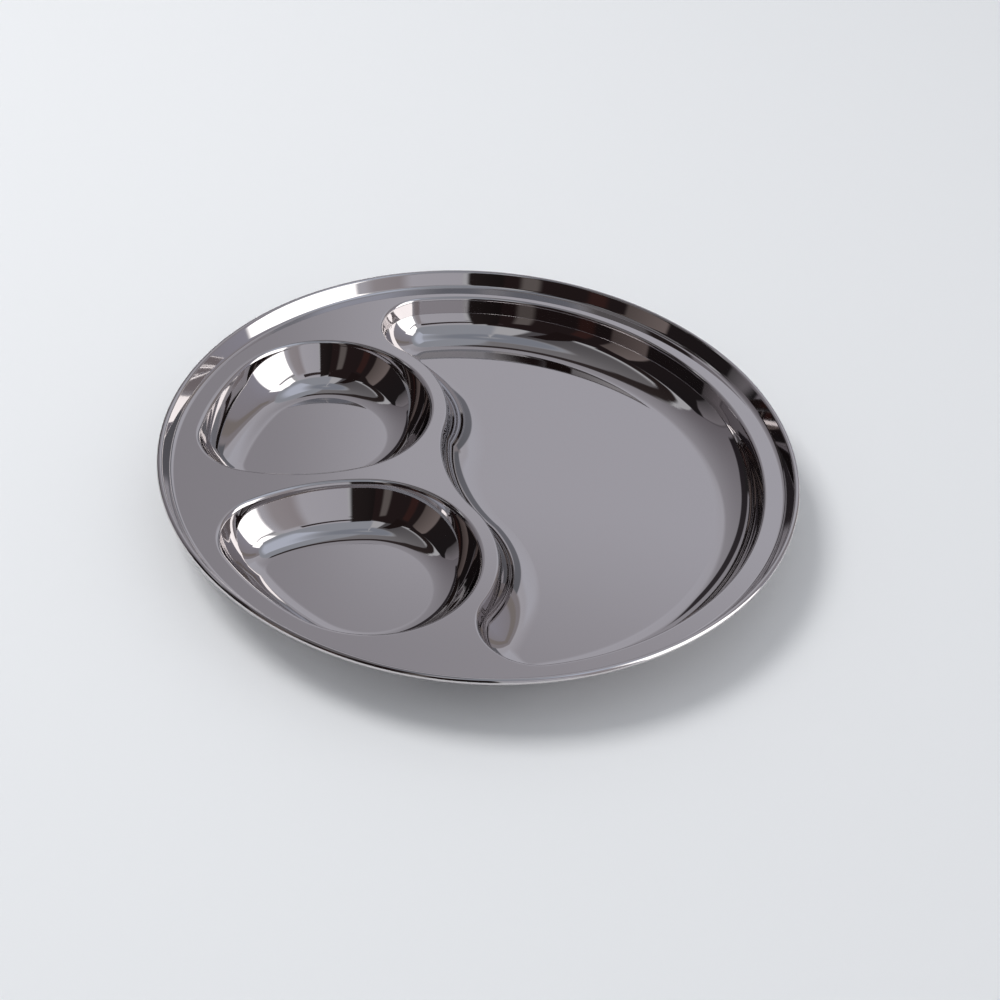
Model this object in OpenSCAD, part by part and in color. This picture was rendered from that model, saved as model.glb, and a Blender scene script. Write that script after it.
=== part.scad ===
// Round pressed-steel thali plate: two small bowls and one large well let into a flat deck,
// inside a raised rim that ends in an outward rolled bead. Lengths in millimetres.
// The plate stands on its three level floors; +X runs from the bowls to the large well.

/* [Plate] */
// outside diameter, over the rolled bead
plate_d = 300; // [290:1:330]
// thickness of the pressed sheet
sheet_t = 0.7; // [0.5:0.05:0.9]
// depth of every compartment, deck to floor
well_depth = 20; // [18:0.5:22]

/* [Rim] */
// height of the bead's top above the deck
rim_h = 7.2; // [6:0.1:10]
// outside diameter of the rolled bead
bead_d = 3; // [2.6:0.1:4.4]
// slope of the rim wall, from level
rim_slope = 84; // [76:1:86]
// radius of the hollow between deck and rim wall
rim_hollow_r = 2.6; // [2:0.1:3.6]
// angle at which the curl stops, below the level through its centre
curl_end = 136; // [90:1:140]

/* [Bowls] */
// radius of a bowl's wide round end, at the deck
bowl_r = 51.7; // [48:0.1:54]
// deck left between the bowls at their wide ends
bowl_gap = 6.3; // [5:0.1:12]
// radius of a bowl's narrow corner, at the deck
bowl_corner_r = 29.3; // [27:0.1:33]
// deck left between the bowls at their narrow corners
corner_gap = 15.4; // [13:0.2:20]
// radius of the bowl's side along the web between the bowls
bowl_side_r = 102.5; // [96:0.5:110]
// radius of the shoulder where the deck turns down into a bowl
bowl_shoulder_r = 2.4; // [2:0.1:3.2]
// slope of a bowl's wall under the shoulder, from level
bowl_slope = 70; // [66:1:74]
// radius of the hollow that rises from a bowl's floor
bowl_hollow_r = 17; // [15:0.5:19]
// slope at which that hollow ends and the wider curve of the wall begins, from level
bowl_hollow_slope = 45; // [40:1:50]

/* [Main well] */
// deck left between a bowl and the main well
web_w = 5; // [4:0.25:6.5]
// radius of the main well's nose between the bowls
nose_r = 78.7; // [70:0.1:86]
// radius of the main well's two end corners
well_corner_r = 26.2; // [25:0.1:30]
// width of deck from the compartments' outer edge to the outside of the bead
edge_inset = 14.5; // [14:0.1:17]
// radius of the shoulder where the deck turns down into the main well
well_shoulder_r = 1.8; // [1.4:0.1:2.6]
// slope of the main well's wall, from level
well_slope = 82; // [78:1:84]
// radius of the hollow that rises from the main well's floor
well_hollow_r = 21; // [19:0.5:22]
// slope at which that hollow ends in the bend under the wall, from level
well_hollow_slope = 62; // [56:1:68]
// radius of the bend between the main well's hollow and its wall
well_bend_r = 1; // [0.6:0.1:2]

/* [Hidden] */

steel = [0.72, 0.71, 0.72];
round_fn = 96;
// how far a straight facet may cut inside the round form of a compartment
facet_sag = 0.15;
shoulder_steps = 4;
bowl_steps = [3, 5];
well_steps = [1, 7];
bead_steps = 12;

plate_r = plate_d / 2;
bead_r = bead_d / 2;
edge_r = plate_r - edge_inset;
deck_z = well_depth + sheet_t;
web_side_r = bowl_r + web_w;

// rim section: bead centre, then the centre of the hollow it stands in
bead_c = [plate_r - bead_r, rim_h - bead_r];
rim_reach = bead_r + rim_hollow_r;
rim_rise = bead_c.y + rim_reach * cos(rim_slope) - rim_hollow_r;
deck_r = bead_c.x - rim_reach * sin(rim_slope) - rim_rise * cos(rim_slope) / sin(rim_slope);
rim_join = bead_c + bead_r * [-sin(rim_slope), cos(rim_slope)];

// points along an arc, first and last included
function arc_points(c, r, a0, a1, n) =
    [for (i = [0:n]) let (a = a0 + (a1 - a0) * i / n) [c.x + r * cos(a), c.y + r * sin(a)]];

// direction of v, and the same turned up to lie at or above a given angle
function bearing(v) = atan2(v.y, v.x);
function above(a, least) = a < least ? above(a + 360, least) : a;

// both places at distance ra from a and rb from b; side picks the one left or right of a to b
function two_reach(a, ra, b, rb, side) =
    let (d = norm(b - a), x = (ra * ra - rb * rb + d * d) / (2 * d),
         h = sqrt(ra * ra - x * x), u = (b - a) / d)
    a + x * u + side * h * [-u.y, u.x];

// centre of a round of radius r that touches the compartments' outer edge on the -X side
// and stands half a gap off the plate's axis
function held_in(r, gap) =
    let (y = r + gap / 2)
    [-sqrt(pow(edge_r - r, 2) - y * y), y];

// an outline is a list of arcs [centre, radius, start, end, side]
// side is 1 where the compartment lies towards the arc's centre and -1 where it lies away
bowl_c = held_in(bowl_r, bowl_gap);
bowl_bearing = bearing(bowl_c);
bowl_corner_c = held_in(bowl_corner_r, corner_gap);
bowl_corner_bearing = bearing(bowl_corner_c);
side_c = two_reach(bowl_c, bowl_side_r - bowl_r, bowl_corner_c, bowl_side_r - bowl_corner_r, -1);
side_a0 = bearing(bowl_corner_c - side_c);
side_a1 = above(bearing(bowl_c - side_c), side_a0);
bowl_round_arcs = [[bowl_c, bowl_r, side_a1, above(bowl_bearing, side_a1), 1]];
bowl_corner_arcs = [
    [[0, 0], edge_r, bowl_bearing, bowl_corner_bearing, 1],
    [bowl_corner_c, bowl_corner_r, bowl_corner_bearing, above(side_a0, bowl_corner_bearing), 1],
    [side_c, bowl_side_r, side_a0, side_a1, 1]
];
bowl_arcs = concat(bowl_round_arcs, bowl_corner_arcs);

nose_c = [bowl_c.x + sqrt(pow(web_side_r + nose_r, 2) - pow(bowl_c.y, 2)), 0];
end_c = two_reach([0, 0], edge_r - well_corner_r, bowl_c, web_side_r + well_corner_r, -1);
end_a0 = bearing(end_c);
end_a1 = above(bearing(bowl_c - end_c), end_a0);
web_a0 = bearing(end_c - bowl_c);
web_a1 = bearing(nose_c - bowl_c);
nose_a0 = bearing(bowl_c - nose_c);
outer_arc = [[0, 0], edge_r, 0, end_a0, 1];
end_arc = [end_c, well_corner_r, end_a0, end_a1, 1];
web_arc = [bowl_c, web_side_r, web_a0, web_a1, -1];
nose_arc = [nose_c, nose_r, nose_a0, 360 - nose_a0, 1];
web_arcs = concat([web_arc, nose_arc], other_side([web_arc]));
well_arcs = concat([outer_arc, end_arc], web_arcs, other_side([outer_arc, end_arc]));

// the same arcs on the other side of the plate's axis, still running anticlockwise
function other_side(arcs) =
    [for (i = [len(arcs) - 1:-1:0]) let (a = arcs[i])
        [[a[0].x, -a[0].y], a[1], -a[3], -a[2], a[4]]];

// bearings at which an arc of an outline is divided, its last one left to the arc that follows
function arc_bearings(a) =
    let (span = a[3] - a[2], n = ceil(abs(span) / (2 * acos(1 - facet_sag / a[1]))))
    [for (i = [0:n - 1]) a[2] + span * i / n];

// a place on an arc at bearing t, moved x into the compartment
function place(a, t, x) = a[0] + (a[1] - a[4] * x) * [cos(t), sin(t)];

// the closed outline of a compartment, x inside its edge at the deck, as points
function outline(arcs, x) = [for (a = arcs) for (t = arc_bearings(a)) place(a, t, x)];

// the curve of a bowl's wall fills the height that its shoulder and its hollow leave
bowl_shoulder_drop = bowl_shoulder_r * (1 - cos(bowl_slope));
bowl_hollow_rise = bowl_hollow_r * (1 - cos(bowl_hollow_slope));
bowl_curve_r = (well_depth - bowl_shoulder_drop - bowl_hollow_rise)
               / (cos(bowl_hollow_slope) - cos(bowl_slope));

// the wall of a compartment: its shoulder's radius, its slope under the shoulder, radius of the
// curve below that slope, slope at which this turns into the hollow, the hollow's radius, and the
// steps in which curve and hollow are drawn
bowl_wall = [bowl_shoulder_r, bowl_slope, bowl_curve_r, bowl_hollow_slope, bowl_hollow_r, bowl_steps];
well_wall = [well_shoulder_r, well_slope, well_bend_r, well_hollow_slope, well_hollow_r, well_steps];

// how far in from the deck's edge a wall ends in the level floor
function wall_reach(form) =
    let (shoulder_r = form[0], slope = form[1], curve_r = form[2], turn = form[3], hollow_r = form[4],
         top = -shoulder_r * (1 - cos(slope)),
         foot = -well_depth + hollow_r * (1 - cos(turn)) + curve_r * (cos(turn) - cos(slope)))
    shoulder_r * sin(slope) + (top - foot) / tan(slope) + curve_r * (sin(slope) - sin(turn))
    + hollow_r * sin(turn);

function reversed(list) = [for (i = [len(list) - 1:-1:0]) list[i]];
function all_but_last(list) = [for (i = [0:len(list) - 2]) list[i]];

// one face of a wall's section, x inwards from the deck's edge and y up from the deck's top,
// lying inset under the upper face: shoulder, straight wall if any is left, curve, then hollow
function wall_face(form, inset) =
    let (shoulder_r = form[0], slope = form[1], curve_r = form[2], turn = form[3], hollow_r = form[4],
         hollow_c = [wall_reach(form), hollow_r - well_depth],
         curve_c = hollow_c + (curve_r - hollow_r) * [sin(turn), cos(turn)])
    concat(arc_points([0, -shoulder_r], shoulder_r - inset, 90, 90 - slope, shoulder_steps),
           all_but_last(arc_points(curve_c, curve_r + inset, 270 - slope, 270 - turn, form[5][0])),
           arc_points(hollow_c, hollow_r + inset, 270 - turn, 270, form[5][1]));

// section of the rim from the deck's edge to the bead, and of the curled bead itself
rim_section = concat(
    arc_points([deck_r, rim_hollow_r], rim_hollow_r, 270, 270 + rim_slope, shoulder_steps),
    [rim_join, rim_join + sheet_t * [sin(rim_slope), -cos(rim_slope)]],
    arc_points([deck_r, rim_hollow_r], rim_hollow_r + sheet_t, 270 + rim_slope, 270, shoulder_steps)
);
bead_section = concat(
    arc_points(bead_c, bead_r, 90 + rim_slope, -curl_end, bead_steps),
    arc_points(bead_c, bead_r - sheet_t, -curl_end, 90 + rim_slope, bead_steps)
);

// part of a compartment's wall: its section carried along arcs of the outline, with an end face at
// each end made of one strip between the upper and the under face
module wall(arcs, form) {
    section = concat(wall_face(form, 0), reversed(wall_face(form, sheet_t)));
    last = arcs[len(arcs) - 1];
    stations = concat([for (a = arcs) for (t = arc_bearings(a)) [a, t]], [[last, last[3]]]);
    m = len(section);
    n = len(stations);
    points = [for (s = stations) for (p = section)
        let (q = place(s[0], s[1], p.x)) [q.x, q.y, deck_z + p.y]];
    sides = [for (j = [0:n - 2]) for (i = [0:m - 1])
        let (here = j * m, next = here + m, down = (i + 1) % m)
        [here + i, here + down, next + down, next + i]];
    first_end = [for (i = [0:m / 2 - 2]) [m - 1 - i, m - 2 - i, i + 1, i]];
    last_end = [for (face = first_end) [for (k = reversed(face)) (n - 1) * m + k]];
    color(steel)
        polyhedron(points, concat(sides, first_end, last_end));
}

// a compartment's level floor, out to the foot of its wall
module level_floor(arcs, form) {
    color(steel)
        linear_extrude(sheet_t)
            polygon(outline(arcs, wall_reach(form)));
}

module deck() {
    color(steel)
        translate([0, 0, deck_z - sheet_t])
            linear_extrude(sheet_t)
                difference() {
                    circle(r = deck_r, $fn = round_fn);
                    for (arcs = [well_arcs, bowl_arcs, other_side(bowl_arcs)])
                        polygon(outline(arcs, 0));
                }
}

module main_well_floor() level_floor(well_arcs, well_wall);
module main_well_upper_outer_wall() wall([outer_arc], well_wall);
module main_well_lower_outer_wall() wall(other_side([outer_arc]), well_wall);
module main_well_upper_end() wall([end_arc], well_wall);
module main_well_lower_end() wall(other_side([end_arc]), well_wall);
module main_well_web_wall() wall(web_arcs, well_wall);

module upper_bowl_floor() level_floor(bowl_arcs, bowl_wall);
module upper_bowl_round_wall() wall(bowl_round_arcs, bowl_wall);
module upper_bowl_corner_wall() wall(bowl_corner_arcs, bowl_wall);
module lower_bowl_floor() level_floor(other_side(bowl_arcs), bowl_wall);
module lower_bowl_round_wall() wall(other_side(bowl_round_arcs), bowl_wall);
module lower_bowl_corner_wall() wall(other_side(bowl_corner_arcs), bowl_wall);

module rim_wall() {
    color(steel)
        translate([0, 0, deck_z])
            rotate_extrude($fn = round_fn)
                polygon(rim_section);
}

module rolled_bead() {
    color(steel)
        translate([0, 0, deck_z])
            rotate_extrude($fn = round_fn)
                polygon(bead_section);
}

deck();
main_well_floor();
main_well_upper_outer_wall();
main_well_lower_outer_wall();
main_well_upper_end();
main_well_lower_end();
main_well_web_wall();
upper_bowl_floor();
upper_bowl_round_wall();
upper_bowl_corner_wall();
lower_bowl_floor();
lower_bowl_round_wall();
lower_bowl_corner_wall();
rim_wall();
rolled_bead();
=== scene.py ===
"""Looks of a divided plate pressed from mirror-polished stainless steel sheet.

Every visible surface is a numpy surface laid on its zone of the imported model: the flat deck,
three pressed compartments, the raised rim and the rolled edge. Only the rim's wall leans out more
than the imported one. Lengths are in metres, +Z is up and the origin is under the plate's centre.
"""

import bpy
import numpy as np
from bpy.props import FloatProperty, FloatVectorProperty, PointerProperty
from mathutils import Matrix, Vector
from mathutils.geometry import delaunay_2d_cdt


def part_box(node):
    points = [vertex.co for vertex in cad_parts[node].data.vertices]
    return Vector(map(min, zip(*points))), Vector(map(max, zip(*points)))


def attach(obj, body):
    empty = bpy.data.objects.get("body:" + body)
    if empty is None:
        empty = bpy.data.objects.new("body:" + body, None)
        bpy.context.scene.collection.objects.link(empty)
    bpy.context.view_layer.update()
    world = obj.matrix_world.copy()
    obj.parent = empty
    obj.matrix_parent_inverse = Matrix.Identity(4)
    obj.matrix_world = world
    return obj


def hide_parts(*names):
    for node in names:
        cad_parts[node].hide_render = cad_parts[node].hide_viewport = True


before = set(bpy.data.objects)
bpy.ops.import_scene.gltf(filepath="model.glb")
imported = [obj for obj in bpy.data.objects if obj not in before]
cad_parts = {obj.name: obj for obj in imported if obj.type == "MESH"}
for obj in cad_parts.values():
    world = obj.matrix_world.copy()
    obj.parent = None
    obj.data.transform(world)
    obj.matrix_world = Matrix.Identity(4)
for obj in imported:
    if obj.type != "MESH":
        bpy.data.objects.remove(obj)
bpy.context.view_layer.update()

bl_info = {
    "name": "Pressed steel divided plate",
    "version": (1, 0, 0),
    "blender": (4, 5, 0),
    "location": "3D Viewport > Sidebar > Plate",
    "description": "Builds a polished divided plate and the studio round it",
    "category": "Add Mesh",
}

MM = 0.001
WELL_FLOOR_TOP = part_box("main_well_floor")[1].z
DECK_LOW, DECK_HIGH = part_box("deck")
BEAD_LOW, BEAD_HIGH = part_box("rolled_bead")
STEEL_NAME = "stainless_sheet_mirror_buffed"

# how finely the surfaces are laid
OUTLINE_SPACING = 1.2 * MM
TURN_STEPS = 720
SHOULDER_STEPS, CURVE_STEPS, HOLLOW_STEPS = 12, 16, 26
RIM_STEPS, BEAD_STEPS, CURL_STEPS = 16, 44, 30
SAME_POINT = 1e-6 * MM
ROUNDING = 1e-12
MERGE_SHARE = 1e-7

# the photograph's viewing angles in degrees, and its frame in pixels
VIEW_DROP = 40.571
VIEW_ROLL = 5.045
VIEW_TURN = 16.653
FOCAL_PIXELS = 1946.2
AIM_PIXEL = (480.1, 461.7)
FRAME_PIXELS = 1000
SENSOR_WIDTH = 36
CLIP_NEAR, CLIP_FAR = 0.05, 60

# the stage: half the side of the floor, the lamp's place and the cards' distances
FLOOR_REACH = 12.0
LAMP_PLACE = (-1.0, 0.7, 1.9)
CARD_DISTANCE = 3.6
CARD_SHRINK = 0.94
CARD_MESH_STEP = 3.0
CARD_ROWS = 17


def srgb(code):
    """Linear RGB of an sRGB hex colour: each share is turned by the standard two-part curve."""
    shares = np.array([int(code[i:i + 2], 16) for i in (1, 3, 5)]) / 255
    linear = np.where(shares <= 0.04045, shares / 12.92, ((shares + 0.055) / 1.055) ** 2.4)
    return tuple(float(v) for v in linear)


class PlateSizes(bpy.types.PropertyGroup):
    """Sizes of the pressed plate; all but the rim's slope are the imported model's"""
    plate_radius: FloatProperty(
        name="Plate radius", description="Outside radius over the rolled edge",
        default=min(*BEAD_HIGH.xy, *-BEAD_LOW.xy), unit="LENGTH")
    sheet: FloatProperty(
        name="Sheet", description="Thickness of the sheet",
        default=DECK_HIGH.z - DECK_LOW.z, unit="LENGTH")
    depth: FloatProperty(
        name="Depth", description="Depth of the compartments, deck to floor",
        default=DECK_HIGH.z - WELL_FLOOR_TOP, unit="LENGTH")
    rim_height: FloatProperty(
        name="Rim height", description="Height of the rolled edge over the deck",
        default=BEAD_HIGH.z - DECK_HIGH.z, unit="LENGTH")
    bead_radius: FloatProperty(
        name="Bead radius", description="Radius of the rolled edge",
        default=1.5 * MM, unit="LENGTH")
    rim_slope: FloatProperty(
        name="Rim slope", description="Slope of the rim wall, gentler than the packed one",
        default=np.radians(63), subtype="ANGLE")
    rim_hollow: FloatProperty(
        name="Rim hollow", description="Radius of the hollow between deck and rim wall",
        default=2.6 * MM, unit="LENGTH")
    curl_end: FloatProperty(
        name="Curl end", description="Angle at which the curl stops, below level",
        default=np.radians(136), subtype="ANGLE")
    edge_inset: FloatProperty(
        name="Edge inset", description="Width from the compartments' outer edge to the outside",
        default=14.5 * MM, unit="LENGTH")
    bowl_radius: FloatProperty(
        name="Bowl radius", description="Radius of a bowl's wide round end",
        default=51.7 * MM, unit="LENGTH")
    bowl_gap: FloatProperty(
        name="Bowl gap", description="Deck between the bowls at their wide ends",
        default=6.3 * MM, unit="LENGTH")
    bowl_corner: FloatProperty(
        name="Bowl corner", description="Radius of a bowl's narrow corner",
        default=29.3 * MM, unit="LENGTH")
    corner_gap: FloatProperty(
        name="Corner gap", description="Deck between the bowls at their narrow corners",
        default=15.4 * MM, unit="LENGTH")
    bowl_side: FloatProperty(
        name="Bowl side", description="Radius of the bowl's side along the web",
        default=102.5 * MM, unit="LENGTH")
    bowl_shoulder: FloatProperty(
        name="Bowl shoulder", description="Radius where the deck turns down into a bowl",
        default=2.4 * MM, unit="LENGTH")
    bowl_slope: FloatProperty(
        name="Bowl slope", description="Slope of a bowl's wall from level, under its shoulder",
        default=np.radians(70), subtype="ANGLE")
    bowl_hollow: FloatProperty(
        name="Bowl hollow", description="Radius of the hollow that rises from a bowl's floor",
        default=17 * MM, unit="LENGTH")
    bowl_hollow_slope: FloatProperty(
        name="Bowl hollow slope", description="Slope at which that hollow meets the wall",
        default=np.radians(45), subtype="ANGLE")
    web: FloatProperty(
        name="Web", description="Deck between a bowl and the main well",
        default=5 * MM, unit="LENGTH")
    nose: FloatProperty(
        name="Nose", description="Radius of the main well's nose between the bowls",
        default=78.7 * MM, unit="LENGTH")
    well_corner: FloatProperty(
        name="Well corner", description="Radius of the main well's two end corners",
        default=26.2 * MM, unit="LENGTH")
    well_shoulder: FloatProperty(
        name="Well shoulder", description="Radius where the deck turns down into the main well",
        default=1.8 * MM, unit="LENGTH")
    well_slope: FloatProperty(
        name="Well slope", description="Slope of the main well's wall from level",
        default=np.radians(82), subtype="ANGLE")
    well_hollow: FloatProperty(
        name="Well hollow", description="Radius of the hollow that rises from the well's floor",
        default=21 * MM, unit="LENGTH")
    well_hollow_slope: FloatProperty(
        name="Well hollow slope", description="Slope at which that hollow meets the bend",
        default=np.radians(62), subtype="ANGLE")
    well_bend: FloatProperty(
        name="Well bend", description="Radius of the bend between hollow and wall",
        default=1 * MM, unit="LENGTH")


class PlateFinish(bpy.types.PropertyGroup):
    """Finish of the steel"""
    steel: FloatVectorProperty(
        name="Steel", description="Reflected colour of the polished steel",
        default=srgb("#CCC8C8"), size=3, min=0, max=1, subtype="COLOR")
    gloss_blur: FloatProperty(
        name="Gloss blur", description="Roughness left by the mirror buffing",
        default=0.02, min=0, max=1, subtype="FACTOR")
    wave_height: FloatProperty(
        name="Wave height", description="Height of the faint waves left by the press",
        default=0.012 * MM, unit="LENGTH", precision=6)
    wave_length: FloatProperty(
        name="Wave length", description="Distance between those waves",
        default=30 * MM, unit="LENGTH")


class StudioLook(bpy.types.PropertyGroup):
    """Floor, surroundings and camera"""
    floor: FloatVectorProperty(
        name="Floor", description="Colour of the floor",
        default=srgb("#EDEEEF"), size=3, min=0, max=1, subtype="COLOR")
    air: FloatVectorProperty(
        name="Air", description="Even light of the studio from all round",
        default=srgb("#C2C4C8"), size=3, min=0, max=1, subtype="COLOR")
    lamp: FloatProperty(
        name="Lamp", description="Power of the soft lamp over the plate",
        default=24.0, unit="POWER")
    lamp_size: FloatProperty(
        name="Lamp size", description="Side of the soft lamp",
        default=0.9, unit="LENGTH")
    view_distance: FloatProperty(
        name="View distance", description="Distance of the camera from the deck's centre plane",
        default=916 * MM, unit="LENGTH")


# outlines and sections

def unit_vectors(angles):
    """Directions at the given angles, as rows."""
    return np.stack([np.cos(angles), np.sin(angles)], -1)


def bearing(vector):
    """Angle of a plane vector from +X."""
    return float(np.arctan2(vector[1], vector[0]))


def at_least(angle, low):
    """The same direction, turned on by whole turns until it is not below low."""
    return angle + 2 * np.pi * np.ceil(max(0.0, low - angle) / (2 * np.pi) - ROUNDING)


def two_reach(a, reach_a, b, reach_b):
    """The point at given distances from a and from b, on the right of the way from a to b."""
    a, b = np.asarray(a, float), np.asarray(b, float)
    way = b - a
    gap = np.hypot(*way)
    along = (reach_a ** 2 - reach_b ** 2 + gap ** 2) / (2 * gap)
    off = np.sqrt(reach_a ** 2 - along ** 2)
    way = way / gap
    return a + along * way - off * np.array([-way[1], way[0]])


def other_side(arcs):
    """The arcs mirrored in the plate's axis, still in the same order round."""
    return [((c[0], -c[1]), r, -end, -start, side) for c, r, start, end, side in reversed(arcs)]


def compartment_arcs(s):
    """Arcs (centre, radius, start, end, side) of a bowl and of the main well; side is 1 where
    the compartment lies towards the arc's centre and -1 where it lies away."""
    edge = s.plate_radius - s.edge_inset

    def held_in(radius, gap):
        """Centre of a round that touches the outer edge and stands half a gap off the axis."""
        y = radius + gap / 2
        return np.array([-np.sqrt((edge - radius) ** 2 - y ** 2), y])

    wide = held_in(s.bowl_radius, s.bowl_gap)
    narrow = held_in(s.bowl_corner, s.corner_gap)
    side = two_reach(wide, s.bowl_side - s.bowl_radius, narrow, s.bowl_side - s.bowl_corner)
    side_start = bearing(narrow - side)
    side_end = at_least(bearing(wide - side), side_start)
    bowl = [
        (side, s.bowl_side, side_start, side_end, 1),
        (wide, s.bowl_radius, side_end, at_least(bearing(wide), side_end), 1),
        ((0, 0), edge, bearing(wide), bearing(narrow), 1),
        (narrow, s.bowl_corner, bearing(narrow), at_least(side_start, bearing(narrow)), 1),
    ]
    web_radius = s.bowl_radius + s.web
    nose = np.array([wide[0] + np.sqrt((web_radius + s.nose) ** 2 - wide[1] ** 2), 0])
    corner = two_reach((0, 0), edge - s.well_corner, wide, web_radius + s.well_corner)
    corner_start = bearing(corner)
    nose_start = bearing(wide - nose)
    half = [
        (corner, s.well_corner, corner_start, at_least(bearing(wide - corner), corner_start), 1),
        (wide, web_radius, bearing(corner - wide), bearing(nose - wide), -1),
    ]
    middle = [(nose, s.nose, nose_start, 2 * np.pi - nose_start, 1)]
    well = [((0, 0), edge, -corner_start, corner_start, 1)] + half + middle + other_side(half)
    return bowl, well


def outline(arcs, spacing):
    """Points of a closed row of arcs about spacing apart, and the direction into the
    compartment at each: towards the arc's centre, or away from it where side is -1."""
    points, inward = [], []
    for centre, radius, start, end, side in arcs:
        count = max(2, int(np.ceil(abs(end - start) * radius / spacing)))
        out = unit_vectors(start + (end - start) * np.arange(count) / count)
        points.append(np.asarray(centre) + radius * out)
        inward.append(-side * out)
    return np.concatenate(points), np.concatenate(inward)


def arc_face(centre, radius, start, end, steps, facing):
    """Section points along an arc with the unit normal at each, outwards where facing is 1."""
    out = unit_vectors(np.linspace(start, end, steps + 1))
    return np.asarray(centre) + radius * out, facing * out


def closed_section(faces):
    """Joins faces (points, normals) that run on round a sheet's section into one loop.
    A straight edge fills each gap between two faces and is square to itself.
    Returns the points and, for the edge that leaves each point, the normals at its two ends."""
    points = np.concatenate([p for p, n in faces])
    leave, arrive = [], []
    for k, (p, n) in enumerate(faces):
        step = faces[(k + 1) % len(faces)][0][0] - p[-1]
        flat = np.array([[-step[1], step[0]]]) / max(np.hypot(*step), ROUNDING)
        leave.append(np.concatenate([n[:-1], flat]))
        arrive.append(np.concatenate([n[1:], flat]))
    return points, np.concatenate(leave), np.concatenate(arrive)


def joined(*arcs):
    """Section arcs (points, normals) that run on tangent to each other, as one face. Where two
    of them meet their shared point is kept once; otherwise a straight run lies between them."""
    points, normals = arcs[0]
    for p, n in arcs[1:]:
        kept = slice(None, -1) if np.hypot(*(p[0] - points[-1])) < SAME_POINT else slice(None)
        points, normals = np.concatenate([points[kept], p]), np.concatenate([normals[kept], n])
    return points, normals


def bowl_form(s):
    """Shoulder radius, slope, curve radius, slope where hollow and curve meet, and hollow radius
    of a bowl's wall: the curve fills the height that shoulder and hollow leave."""
    shoulder, slope = s.bowl_shoulder, s.bowl_slope
    hollow, turn = s.bowl_hollow, s.bowl_hollow_slope
    left = s.depth - shoulder * (1 - np.cos(slope)) - hollow * (1 - np.cos(turn))
    return shoulder, slope, left / (np.cos(turn) - np.cos(slope)), turn, hollow


def well_form(s):
    """The same five values of the main well's wall, whose curve is a tight bend."""
    return s.well_shoulder, s.well_slope, s.well_bend, s.well_hollow_slope, s.well_hollow


def wall_faces(s, form):
    """Upper and under face of a compartment's wall, x inwards and y up from the deck's top:
    a shoulder, a straight run at the slope where height is left, a curve, and the hollow."""
    shoulder, slope, curve, turn, hollow = form
    top = -shoulder * (1 - np.cos(slope))
    foot = -s.depth + hollow * (1 - np.cos(turn)) + curve * (np.cos(turn) - np.cos(slope))
    reach = (shoulder * np.sin(slope) + (top - foot) / np.tan(slope)
             + curve * (np.sin(slope) - np.sin(turn)) + hollow * np.sin(turn))
    up, down = np.pi / 2, 3 * np.pi / 2
    over, below = np.array([0, -shoulder]), np.array([reach, hollow - s.depth])
    middle = below + (curve - hollow) * np.array([np.sin(turn), np.cos(turn)])
    upper = joined(
        arc_face(over, shoulder, up, up - slope, SHOULDER_STEPS, 1),
        arc_face(middle, curve, down - slope, down - turn, CURVE_STEPS, -1),
        arc_face(below, hollow, down - turn, down, HOLLOW_STEPS, -1))
    under = joined(
        arc_face(below, hollow + s.sheet, down, down - turn, HOLLOW_STEPS, 1),
        arc_face(middle, curve + s.sheet, down - turn, down - slope, CURVE_STEPS, 1),
        arc_face(over, shoulder - s.sheet, up - slope, up, SHOULDER_STEPS, -1))
    return upper, under


def rim_line(s):
    """Centre of the rolled edge's section and radius at which the level deck ends."""
    centre = np.array([s.plate_radius - s.bead_radius, s.rim_height - s.bead_radius])
    reach = s.bead_radius + s.rim_hollow
    rise = centre[1] + reach * np.cos(s.rim_slope) - s.rim_hollow
    deck_end = centre[0] - reach * np.sin(s.rim_slope) - rise / np.tan(s.rim_slope)
    return centre, deck_end


# meshes

def lay_mesh(name, vertices, faces, normals):
    """One mesh object from vertices and a list of face groups (index rows, normal at each
    corner). The whole is turned inside out if its signed volume comes out negative."""
    triangles = np.concatenate([
        np.stack([f[:, np.zeros(f.shape[1] - 2, int)], f[:, 1:-1], f[:, 2:]], -1).reshape(-1, 3)
        for f in faces])
    a, b, c = (vertices[triangles[:, k]] for k in range(3))
    if np.einsum("ij,ij->i", a, np.cross(b, c)).sum() < 0:
        faces = [f[:, ::-1] for f in faces]
        normals = [n[:, ::-1] for n in normals]
    mesh = bpy.data.meshes.new(name)
    mesh.from_pydata(vertices.tolist(), [], [row for f in faces for row in f.tolist()])
    mesh.polygons.foreach_set("use_smooth", np.ones(len(mesh.polygons), bool))
    corner_normals = np.concatenate([n.reshape(-1, 3) for n in normals])
    mesh.normals_split_custom_set(corner_normals.tolist())
    mesh.update()
    piece = bpy.data.objects.new(name, mesh)
    bpy.context.scene.collection.objects.link(piece)
    return piece


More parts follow.
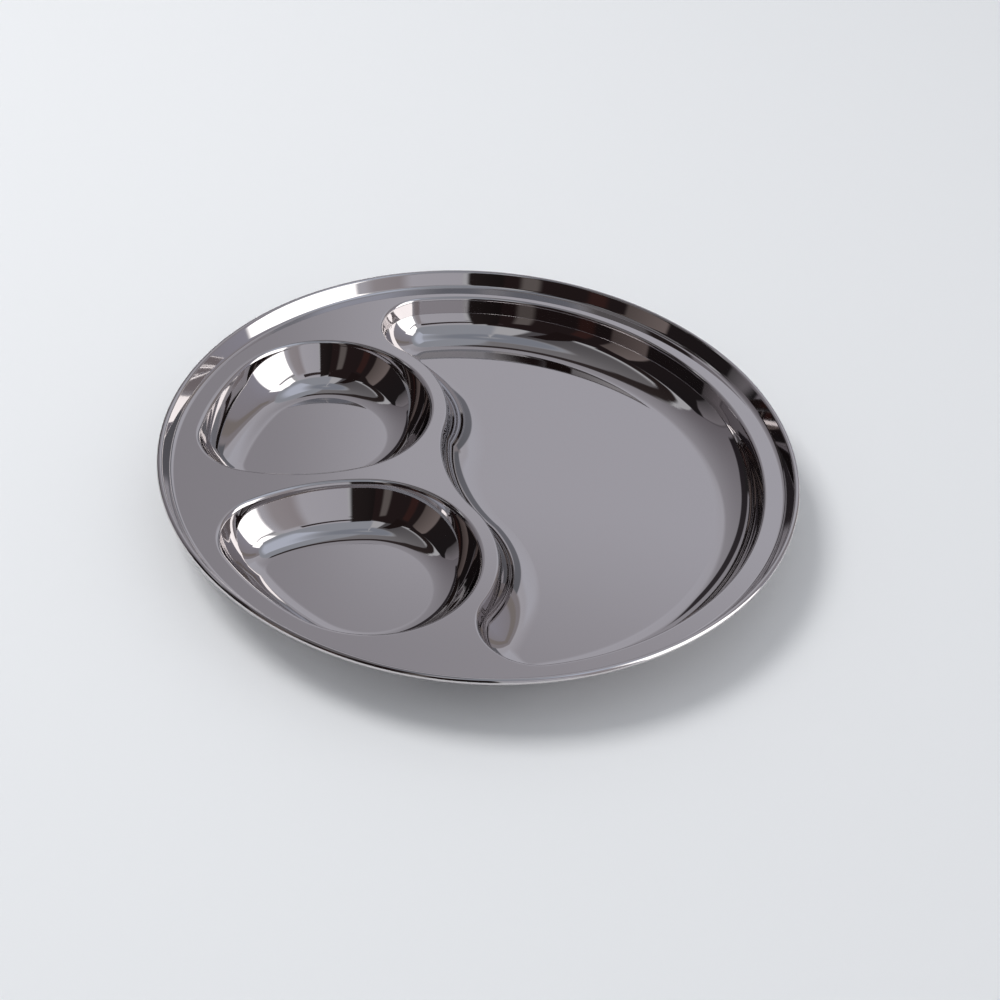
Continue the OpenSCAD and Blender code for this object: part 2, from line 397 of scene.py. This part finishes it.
def sweep(origins, directions, section, height, skip=()):
    """Carries a closed section round a closed row of stations. A section point (x, y) at a
    station lies at origin + x * direction, y above height. Returns the vertices, the quads
    between neighbouring stations without the section edges in skip, and their normals."""
    points, leave, arrive = section
    n, m = len(origins), len(points)
    flat = origins[:, None] + directions[:, None] * points[None, :, :1]
    rise = np.broadcast_to(height + points[None, :, 1:], (n, m, 1))
    vertices = np.concatenate([flat, rise], -1).reshape(-1, 3)
    j = np.arange(n)[:, None]
    i = np.array([k for k in range(m) if k not in skip])[None]
    after, along = (j + 1) % n, (i + 1) % m
    quads = np.stack([j * m + i, j * m + along, after * m + along, after * m + i], -1)

    def turned(normals):
        """Section normals turned to every station."""
        part = normals[i[0]]
        level = directions[:, None] * part[None, :, :1]
        lift = np.broadcast_to(part[None, :, 1:], (n, len(part), 1))
        return np.concatenate([level, lift], -1)

    here, there = turned(leave), turned(arrive)
    corners = np.stack([here, there, np.roll(there, -1, 0), np.roll(here, -1, 0)], 2)
    return vertices, quads.reshape(-1, 4), corners.reshape(-1, 4, 3)


def compartment_mesh(name, s, arcs, form):
    """A compartment's wall carried round its outline, closed by two level floor faces."""
    upper, under = wall_faces(s, form)
    points, leave, arrive = closed_section([upper, under])
    floor_edge = len(upper[0]) - 1
    places, inward = outline(arcs, OUTLINE_SPACING)
    vertices, quads, corners = sweep(
        places, inward, (points, leave, arrive), DECK_HIGH.z, skip=(floor_edge,))
    station = np.arange(len(places)) * len(points)
    floors = [(station + floor_edge)[None, ::-1], (station + floor_edge + 1)[None]]
    level = [np.tile((0.0, 0.0, lift), (1, len(places), 1)) for lift in (1, -1)]
    return lay_mesh(name, vertices, [quads] + floors, [corners] + level)


def inside(loop, points):
    """True for the points inside a closed loop: a ray to +X crosses it an odd number of times."""
    x, y = points[:, :1], points[:, 1:]
    x0, y0 = loop.T
    x1, y1 = np.roll(loop, -1, 0).T
    rise = np.where(y1 == y0, 1, y1 - y0)
    crossed = ((y0 > y) != (y1 > y)) & (x < x0 + (y - y0) * (x1 - x0) / rise)
    return crossed.sum(1) % 2 == 1


def deck_mesh(name, s, holes, rim_loop):
    """The level deck: a round plate with three holes, triangulated once for its two faces,
    with upright edges along every loop."""
    loops = [rim_loop] + holes
    flat = np.concatenate(loops)
    starts = np.cumsum([0] + [len(loop) for loop in loops])
    edges = []
    for start, loop in zip(starts, loops):
        ring = start + np.arange(len(loop))
        edges.append(np.stack([ring, np.roll(ring, -1)], -1))
    rows = np.concatenate(edges).tolist()
    found = delaunay_2d_cdt([tuple(p) for p in flat / MM], rows, [], 0, MERGE_SHARE, False)
    made = np.array(found[0]) * MM
    triangles = np.array(found[2])
    middle = made[triangles].mean(1)
    keep = inside(rim_loop, middle)
    for hole in holes:
        keep &= ~inside(hole, middle)
    triangles = triangles[keep]
    count = len(flat)
    top = np.column_stack([flat, np.full(count, DECK_HIGH.z)])
    low = np.column_stack([flat, np.full(count, DECK_HIGH.z - s.sheet)])
    nearest = np.array([np.argmin(((flat - p) ** 2).sum(1)) for p in made])
    triangles = nearest[triangles]
    a, b, c = (flat[triangles[:, k]] for k in range(3))
    turn = (b - a)[:, 0] * (c - a)[:, 1] - (b - a)[:, 1] * (c - a)[:, 0]
    triangles[turn < 0] = triangles[turn < 0][:, ::-1]
    up = np.tile((0.0, 0.0, 1.0), (len(triangles), 3, 1))
    sides, side_normals = [], []
    for k, ring in enumerate(edges):
        a, b = flat[ring[:, 0]], flat[ring[:, 1]]
        anticlockwise = (a[:, 0] * b[:, 1] - a[:, 1] * b[:, 0]).sum() > 0
        if anticlockwise == (k == 0):
            ring = ring[:, ::-1]
        quad = np.column_stack([ring[:, 0], ring[:, 1], ring[:, 1] + count, ring[:, 0] + count])
        way = flat[ring[:, 1]] - flat[ring[:, 0]]
        level = np.column_stack([-way[:, 1], way[:, 0], np.zeros(len(way))])
        level /= np.linalg.norm(level, axis=1)[:, None]
        sides.append(quad)
        side_normals.append(np.repeat(level[:, None], 4, 1))
    return lay_mesh(
        name, np.concatenate([top, low]),
        [triangles, triangles[:, ::-1] + count] + sides, [up, -up] + side_normals)


# materials

def add_node(tree, kind, settings=None, inputs=None):
    """Adds a node to a tree, with its settings, and with a value or a link for each input."""
    made = tree.nodes.new(kind)
    for key, value in (settings or {}).items():
        setattr(made, key, value)
    for key, value in (inputs or {}).items():
        if isinstance(value, bpy.types.NodeSocket):
            tree.links.new(value, made.inputs[key])
        else:
            made.inputs[key].default_value = value
    return made


def new_material(name):
    """An empty node material and its tree."""
    material = bpy.data.materials.new(name)
    material.use_nodes = True
    material.node_tree.nodes.clear()
    return material, material.node_tree


def polished_stainless():
    """Stainless steel sheet, drawn in a press and buffed to a mirror. The eye sees the room in
    it, sharp but faintly wavy, with hair-fine scratches that only catch a bright edge."""
    look = bpy.context.scene.plate_finish
    hair_length, hair_gap, hair_turn = 12 * MM, 0.4 * MM, np.radians(28)
    cloud_size = 45 * MM
    clean_below, worn_above = 0.15, 0.4
    worn_blur = 2 * look.gloss_blur
    material, tree = new_material(STEEL_NAME)
    place = add_node(tree, "ShaderNodeTexCoord").outputs["Object"]
    waves = add_node(tree, "ShaderNodeTexNoise", {"noise_dimensions": "3D"}, {
        "Vector": place, "Scale": 1 / look.wave_length, "Detail": 1.0, "Roughness": 0.4})
    swell = add_node(tree, "ShaderNodeBump", {}, {
        "Height": waves.outputs["Fac"], "Distance": look.wave_height, "Strength": 1.0})
    # the buffing hairs are drawn coarser than the real ones
    grain = add_node(tree, "ShaderNodeMapping", {}, {
        "Vector": place, "Rotation": (0.0, 0.0, hair_turn),
        "Scale": (1 / hair_length, 1 / hair_gap, 1 / hair_length)})
    hairs = add_node(tree, "ShaderNodeTexNoise", {"noise_dimensions": "3D"}, {
        "Vector": grain.outputs["Vector"], "Scale": 1.0, "Detail": 2.0})
    cloud = add_node(tree, "ShaderNodeTexNoise", {"noise_dimensions": "3D"}, {
        "Vector": place, "Scale": 1 / cloud_size, "Detail": 3.0})
    both = add_node(tree, "ShaderNodeMath", {"operation": "MULTIPLY"}, {
        0: hairs.outputs["Fac"], 1: cloud.outputs["Fac"]})
    blur = add_node(tree, "ShaderNodeMapRange", {}, {
        "Value": both.outputs[0], "From Min": clean_below, "From Max": worn_above,
        "To Min": look.gloss_blur, "To Max": worn_blur})
    steel = add_node(tree, "ShaderNodeBsdfPrincipled", {}, {
        "Base Color": (*look.steel, 1.0), "Metallic": 1.0,
        "Roughness": blur.outputs["Result"], "Normal": swell.outputs["Normal"]})
    add_node(tree, "ShaderNodeOutputMaterial", {}, {"Surface": steel.outputs["BSDF"]})
    return material


def finish_piece(piece, *nodes):
    """Gives a piece of the pressed sheet its steel and its body, and hides the CAD nodes it
    replaces.
    """
    material = bpy.data.materials.get(STEEL_NAME) or polished_stainless()
    piece.data.materials.append(material)
    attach(piece, "root")
    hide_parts(*nodes)


def matte_paper():
    """Seamless paper, uncoated: an even pale ground that keeps a soft shadow."""
    look = bpy.context.scene.studio_look
    tooth_gap, tooth_height = 1.5 * MM, 0.02 * MM
    paper_blur = 0.9
    material, tree = new_material("seamless_paper_uncoated")
    place = add_node(tree, "ShaderNodeTexCoord").outputs["Object"]
    tooth = add_node(tree, "ShaderNodeTexNoise", {}, {
        "Vector": place, "Scale": 1 / tooth_gap, "Detail": 2.0})
    relief = add_node(tree, "ShaderNodeBump", {}, {
        "Height": tooth.outputs["Fac"], "Distance": tooth_height})
    paper = add_node(tree, "ShaderNodeBsdfPrincipled", {}, {
        "Base Color": (*look.floor, 1.0), "Roughness": paper_blur,
        "Normal": relief.outputs["Normal"]})
    add_node(tree, "ShaderNodeOutputMaterial", {}, {"Surface": paper.outputs["BSDF"]})
    return material


def glowing_card(name, first, last, strength, feather):
    """A studio card, seen only in the steel: an even glow that runs from one colour to another
    across the card and fades out at its four edges, over the given shares of its two sides."""
    material, tree = new_material(name)
    across = add_node(tree, "ShaderNodeSeparateXYZ", {}, {
        "Vector": add_node(tree, "ShaderNodeTexCoord").outputs["UV"]})
    cover = None
    for side, share in zip("XY", feather):
        off = add_node(tree, "ShaderNodeMath", {"operation": "SUBTRACT"}, {
            0: across.outputs[side], 1: 0.5})
        out = add_node(tree, "ShaderNodeMath", {"operation": "ABSOLUTE"}, {0: off.outputs[0]})
        fade = add_node(tree, "ShaderNodeMapRange", {"interpolation_type": "SMOOTHSTEP"}, {
            "Value": out.outputs[0], "From Min": 0.5 - share, "From Max": 0.5,
            "To Min": 1.0, "To Max": 0.0}).outputs["Result"]
        cover = fade if cover is None else add_node(
            tree, "ShaderNodeMath", {"operation": "MULTIPLY"}, {0: cover, 1: fade}).outputs[0]
    # sockets 0, 6 and 7 of a colour mix are its share and its two colours, and 2 is the result
    blend = add_node(tree, "ShaderNodeMix", {"data_type": "RGBA"}, {
        0: across.outputs["X"], 6: (*srgb(first), 1.0), 7: (*srgb(last), 1.0)})
    glow = add_node(tree, "ShaderNodeEmission", {}, {
        "Color": blend.outputs[2], "Strength": strength})
    clear = add_node(tree, "ShaderNodeBsdfTransparent")
    both = add_node(tree, "ShaderNodeMixShader", {}, {
        0: cover, 1: clear.outputs[0], 2: glow.outputs[0]})
    add_node(tree, "ShaderNodeOutputMaterial", {}, {"Surface": both.outputs[0]})
    return material


# operators

class PLATE_OT_deck(bpy.types.Operator):
    """Make the level deck of the plate"""
    bl_idname = "plate.deck"
    bl_label = "Deck"

    def execute(self, context):
        s = context.scene.plate_sizes
        bowl, well = compartment_arcs(s)
        holes = [outline(arcs, OUTLINE_SPACING)[0] for arcs in (well, bowl, other_side(bowl))]
        turn = 2 * np.pi * np.arange(TURN_STEPS) / TURN_STEPS
        rim_loop = rim_line(s)[1] * unit_vectors(turn)
        piece = deck_mesh("level_deck", s, holes, rim_loop)
        finish_piece(piece, "deck")
        return {"FINISHED"}


class PLATE_OT_compartments(bpy.types.Operator):
    """Make the main well and the two bowls pressed into the deck"""
    bl_idname = "plate.compartments"
    bl_label = "Compartments"

    def execute(self, context):
        s = context.scene.plate_sizes
        bowl, well = compartment_arcs(s)
        piece = compartment_mesh("main_well_pressing", s, well, well_form(s))
        finish_piece(piece, "main_well_floor", "main_well_upper_outer_wall",
                     "main_well_lower_outer_wall", "main_well_upper_end",
                     "main_well_lower_end", "main_well_web_wall")
        for side, arcs in (("upper", bowl), ("lower", other_side(bowl))):
            piece = compartment_mesh(f"{side}_bowl_pressing", s, arcs, bowl_form(s))
            finish_piece(piece, f"{side}_bowl_floor", f"{side}_bowl_round_wall",
                         f"{side}_bowl_corner_wall")
        return {"FINISHED"}


class PLATE_OT_rim(bpy.types.Operator):
    """Make the raised rim and its rolled edge"""
    bl_idname = "plate.rim"
    bl_label = "Rim and rolled edge"

    def execute(self, context):
        s = context.scene.plate_sizes
        centre, deck_end = rim_line(s)
        out = unit_vectors(2 * np.pi * np.arange(TURN_STEPS) / TURN_STEPS)
        still = np.zeros_like(out)
        down, up = 3 * np.pi / 2, np.pi / 2
        low, slope = (deck_end, s.rim_hollow), s.rim_slope
        square = np.array([-np.sin(slope), np.cos(slope)])
        join = centre + s.bead_radius * square
        rim_section = closed_section([
            arc_face(low, s.rim_hollow, down, down + slope, RIM_STEPS, -1),
            (np.array([join]), np.array([square])),
            (np.array([join - s.sheet * square]), -np.array([square])),
            arc_face(low, s.rim_hollow + s.sheet, down + slope, down, RIM_STEPS, 1)])
        vertices, quads, corners = sweep(still, out, rim_section, DECK_HIGH.z)
        finish_piece(lay_mesh("raised_rim", vertices, [quads], [corners]), "rim_wall")
        bead_section = closed_section([
            arc_face(centre, s.bead_radius, up + slope, -s.curl_end, BEAD_STEPS, 1),
            arc_face(centre, s.bead_radius - s.sheet, -s.curl_end, up + slope, CURL_STEPS, -1)])
        vertices, quads, corners = sweep(still, out, bead_section, DECK_HIGH.z)
        finish_piece(lay_mesh("rolled_edge", vertices, [quads], [corners]), "rolled_bead")
        return {"FINISHED"}


# Cards round the plate, the farthest first: name, strip, first and last colour, strength and
# feather. A strip is a row of (bearing, low, high) in degrees: bearings run clockwise from
# straight ahead of the camera, low and high are the heights of the card's two edges above level.
CARDS = (
    ("zenith", ((-180, 74, 92), (180, 74, 92)), "#8F95A0", "#8F95A0", 1, 6),
    ("ceiling_left", ((-162, 50, 80), (-62, 54, 78), (4, 56, 80)), "#565457", "#8A898C", 1, 4),
    ("ceiling_right", ((-2, 54, 84), (60, 52, 84), (184, 52, 84)), "#A4A9B2", "#A4A9B2", 1, 5),
    ("ceiling_glow", ((24, 60, 80), (60, 58, 82), (124, 60, 80)), "#D0D8E8", "#D0D8E8", 1, 8),
    ("front_wall", ((-76, -5, 40), (-62, -5, 52), (-45, -5, 58), (-25, -5, 61), (0, -5, 58),
                    (50, -5, 56)),
     "#726E74", "#C4C4CC", 1, 2),
    ("front_glow", ((-12, 18, 48), (36, 18, 48)), "#BEBEC6", "#C6C8D2", 1, 8),
    ("side_wall", ((40, -5, 58), (86, -5, 58)), "#948F92", "#A3A3B0", 1, 3),
    ("side_line", ((46, -5, 52), (56, -5, 52)), "#8C8684", "#8C8684", 1, 3),
    ("ceiling_beam", ((-128, 44, 52), (-85, 44, 54), (-72, 48, 58), (-58, 54, 64), (-40, 58, 68),
                      (-20, 58, 66), (2, 54, 62)),
     "#241C1C", "#3A3434", 1, 2),
    ("dark_flag", ((-184, -5, 56), (-158, -5, 58), (-120, -5, 48), (-80, -5, 44), (-70, -5, 40)),
     "#2A2020", "#201E20", 1, 2),
    ("dark_door", ((-152, 40, 74), (-136, 40, 72)), "#221A1A", "#221A1A", 1, 2),
    ("left_wall", ((-86, 2, 22), (-79, 2, 32), (-70, 2, 36)), "#4A484A", "#8A868C", 1, 2),
    ("low_flag", ((-66, 2, 16), (-45, 8, 22), (-25, 12, 24), (-6, 18, 28)),
     "#262226", "#3A363A", 1, 2),
    ("low_flag_foot", ((-66, 0, 8), (-40, 0, 16)), "#2A282A", "#2A282A", 1, 3),
    ("low_grey", ((6, 16, 28), (24, 10, 24), (44, 4, 18)), "#7C7E86", "#6E7076", 1, 2),
    ("brown_stripe", ((-131, 4, 40), (-121, 4, 44), (-112, 4, 44)), "#5C5452", "#807674", 1, 2),
    ("stripe_two", ((-172, 4, 46), (-162, 4, 42)), "#6A6462", "#6A6462", 1, 3),
    ("stripe_three", ((-146, 4, 40), (-136, 4, 40)), "#3A2624", "#3A2624", 1, 3),
    ("window_upper", ((76, 40, 60), (98, 42, 62), (122, 44, 56)), "#FFFFFF", "#FFFFFF", 2.4, 3),
    ("window", ((81, -5, 44), (100, -5, 46), (128, -5, 44)), "#FFFFFF", "#FFFFFF", 2.4, 3),
    ("transom", ((96, 44, 47), (180, 44, 47)), "#949399", "#949399", 1, 1),
    ("curtain", ((126, -5, 58), (168, -5, 60)), "#C4C4CC", "#BCBCC4", 1, 2),
    ("curtain_fold", ((128, -5, 52), (148, -5, 52)), "#ACA8AC", "#A09A9E", 1, 6),
    ("curtain_rail", ((140, 50, 56), (186, 50, 54)), "#3A3234", "#3A3234", 1, 1),
    ("curtain_gap", ((168, -5, 60), (184, -5, 56)), "#2A2424", "#1E1A1A", 1, 2),
)


class PLATE_OT_stage(bpy.types.Operator):
    """Make the floor, the room and its lights, and the camera"""
    bl_idname = "plate.stage"
    bl_label = "Stage"

    def execute(self, context):
        look = context.scene.studio_look
        corners = FLOOR_REACH * np.array([[-1, -1, 0], [1, -1, 0], [1, 1, 0], [-1, 1, 0]])
        floor = lay_mesh("paper_floor", corners, [np.array([[0, 1, 2, 3]])],
                         [np.tile((0.0, 0.0, 1.0), (1, 4, 1))])
        floor.data.materials.append(matte_paper())
        place_camera(context.scene, look.view_distance)
        for place, row in enumerate(CARDS):
            add_card(context.scene, CARD_DISTANCE * CARD_SHRINK ** place, *row)
        world = bpy.data.worlds.new("studio_air")
        world.use_nodes = True
        context.scene.world = world
        world.node_tree.nodes.clear()
        air = add_node(world.node_tree, "ShaderNodeBackground", {}, {
            "Color": (*look.air, 1.0), "Strength": 1.0})
        add_node(world.node_tree, "ShaderNodeOutputWorld", {}, {"Surface": air.outputs[0]})
        lamp = bpy.data.lights.new("overhead_softbox", "AREA")
        lamp.shape = "SQUARE"
        lamp.size = look.lamp_size
        lamp.energy = look.lamp
        hung = bpy.data.objects.new("overhead_softbox", lamp)
        context.scene.collection.objects.link(hung)
        hung.matrix_world = looking_at(np.array(LAMP_PLACE), np.zeros(3))
        hung.visible_glossy = False
        hung.visible_camera = False
        return {"FINISHED"}


def looking_at(eye, target):
    """Placement of a lamp at eye that shines towards target."""
    back = (eye - target) / np.linalg.norm(eye - target)
    side = np.cross((0.0, 1.0, 0.0), back)
    side /= np.linalg.norm(side)
    rows = np.eye(4)
    rows[:3, 0], rows[:3, 1], rows[:3, 2], rows[:3, 3] = side, np.cross(back, side), back, eye
    return Matrix(rows.tolist())


def turn_about(axis, degrees):
    """Rotation matrix by an angle about the x (0) or z (2) axis."""
    c, s = np.cos(np.radians(degrees)), np.sin(np.radians(degrees))
    matrix = np.eye(3)
    i, j = (1, 2) if axis == 0 else (0, 1)
    matrix[i, i], matrix[i, j], matrix[j, i], matrix[j, j] = c, -s, s, c
    return matrix


def place_camera(scene, distance):
    """Camera at the photograph's viewing angle: level view turned down, rolled, and turned round
    the plate; the deck's centre falls on the aim pixel at the given distance."""
    drop = np.radians(VIEW_DROP)
    s, c = np.sin(drop), np.cos(drop)
    level = np.array([[1, 0, 0], [0, -s, -c], [0, c, -s]])
    axes = turn_about(2, VIEW_ROLL) @ level @ turn_about(2, VIEW_TURN)
    half = FRAME_PIXELS / 2
    offset = distance * np.array([(AIM_PIXEL[0] - half) / FOCAL_PIXELS,
                                  (AIM_PIXEL[1] - half) / FOCAL_PIXELS, 1])
    rows = np.eye(4)
    rows[:3, 0], rows[:3, 1], rows[:3, 2] = axes[0], -axes[1], -axes[2]
    rows[:3, 3] = -axes.T @ offset + np.array([0, 0, DECK_HIGH.z])
    data = bpy.data.cameras.new("photo_view")
    data.sensor_width = SENSOR_WIDTH
    data.lens = FOCAL_PIXELS * data.sensor_width / FRAME_PIXELS
    data.clip_start, data.clip_end = CLIP_NEAR, CLIP_FAR
    camera = bpy.data.objects.new("photo_view", data)
    scene.collection.objects.link(camera)
    camera.matrix_world = Matrix(rows.tolist())
    scene.camera = camera


def add_card(scene, distance, name, strip, first, last, strength, feather):
    """A strip of a sphere round the plate at the given distance. Its two edges run straight in
    bearing and height between the rows of the strip, and its UV runs 0 to 1 along and across."""
    rows = np.array(strip, float)
    span = rows[-1, 0] - rows[0, 0]
    turns = np.linspace(rows[0, 0], rows[-1, 0], 1 + int(np.ceil(span / CARD_MESH_STEP)))
    share = np.linspace(0, 1, CARD_ROWS)
    low, high = (np.interp(turns, rows[:, 0], rows[:, k]) for k in (1, 2))
    h = np.radians(low[:, None] + (high - low)[:, None] * share)
    t = np.radians(np.broadcast_to(turns[:, None] + VIEW_TURN, h.shape))
    patch = distance * np.stack([np.sin(t) * np.cos(h), np.cos(t) * np.cos(h), np.sin(h)], -1)
    n, m = t.shape
    j, i = np.arange(n - 1)[:, None], np.arange(m - 1)[None]
    quads = np.stack([j * m + i, (j + 1) * m + i, (j + 1) * m + i + 1, j * m + i + 1], -1)
    quads = quads.reshape(-1, 4)
    mesh = bpy.data.meshes.new(name)
    mesh.from_pydata(patch.reshape(-1, 3).tolist(), [], quads.tolist())
    along = np.broadcast_to(np.linspace(0, 1, n)[:, None], h.shape).ravel()
    across = np.broadcast_to(share, h.shape).ravel()
    corners = np.stack([along, across], -1)[quads.ravel()]
    mesh.uv_layers.new(name="card").data.foreach_set("uv", corners.ravel())
    card = bpy.data.objects.new(name, mesh)
    scene.collection.objects.link(card)
    fades = (feather / span, feather / (high - low).mean())
    card.data.materials.append(glowing_card(name + "_glow", first, last, strength, fades))
    card.visible_camera = False
    card.visible_diffuse = False
    card.visible_shadow = False


class PLATE_PT_panel(bpy.types.Panel):
    """Lists the steps that make the plate"""
    bl_label = "Divided plate"
    bl_idname = "PLATE_PT_panel"
    bl_space_type = "VIEW_3D"
    bl_region_type = "UI"
    bl_category = "Plate"

    def draw(self, context):
        for step in STEPS:
            self.layout.operator(step.bl_idname)
        for group in (context.scene.plate_sizes, context.scene.plate_finish,
                      context.scene.studio_look):
            for key in group.__annotations__:
                self.layout.prop(group, key)


STEPS = (PLATE_OT_deck, PLATE_OT_compartments, PLATE_OT_rim, PLATE_OT_stage)
GROUPS = {"plate_sizes": PlateSizes, "plate_finish": PlateFinish, "studio_look": StudioLook}


def register():
    """Registers the classes and hangs the settings on the scene."""
    for kind in (*GROUPS.values(), *STEPS, PLATE_PT_panel):
        bpy.utils.register_class(kind)
    for key, kind in GROUPS.items():
        setattr(bpy.types.Scene, key, PointerProperty(type=kind))


def unregister():
    """Takes the settings and the classes away again."""
    for key in GROUPS:
        delattr(bpy.types.Scene, key)
    for kind in reversed((*GROUPS.values(), *STEPS, PLATE_PT_panel)):
        bpy.utils.unregister_class(kind)


def main():
    register()
    bpy.ops.plate.deck()
    bpy.ops.plate.compartments()
    bpy.ops.plate.rim()
    bpy.ops.plate.stage()
    bpy.context.scene.view_settings.view_transform = "Standard"


if __name__ == "__main__":
    main()
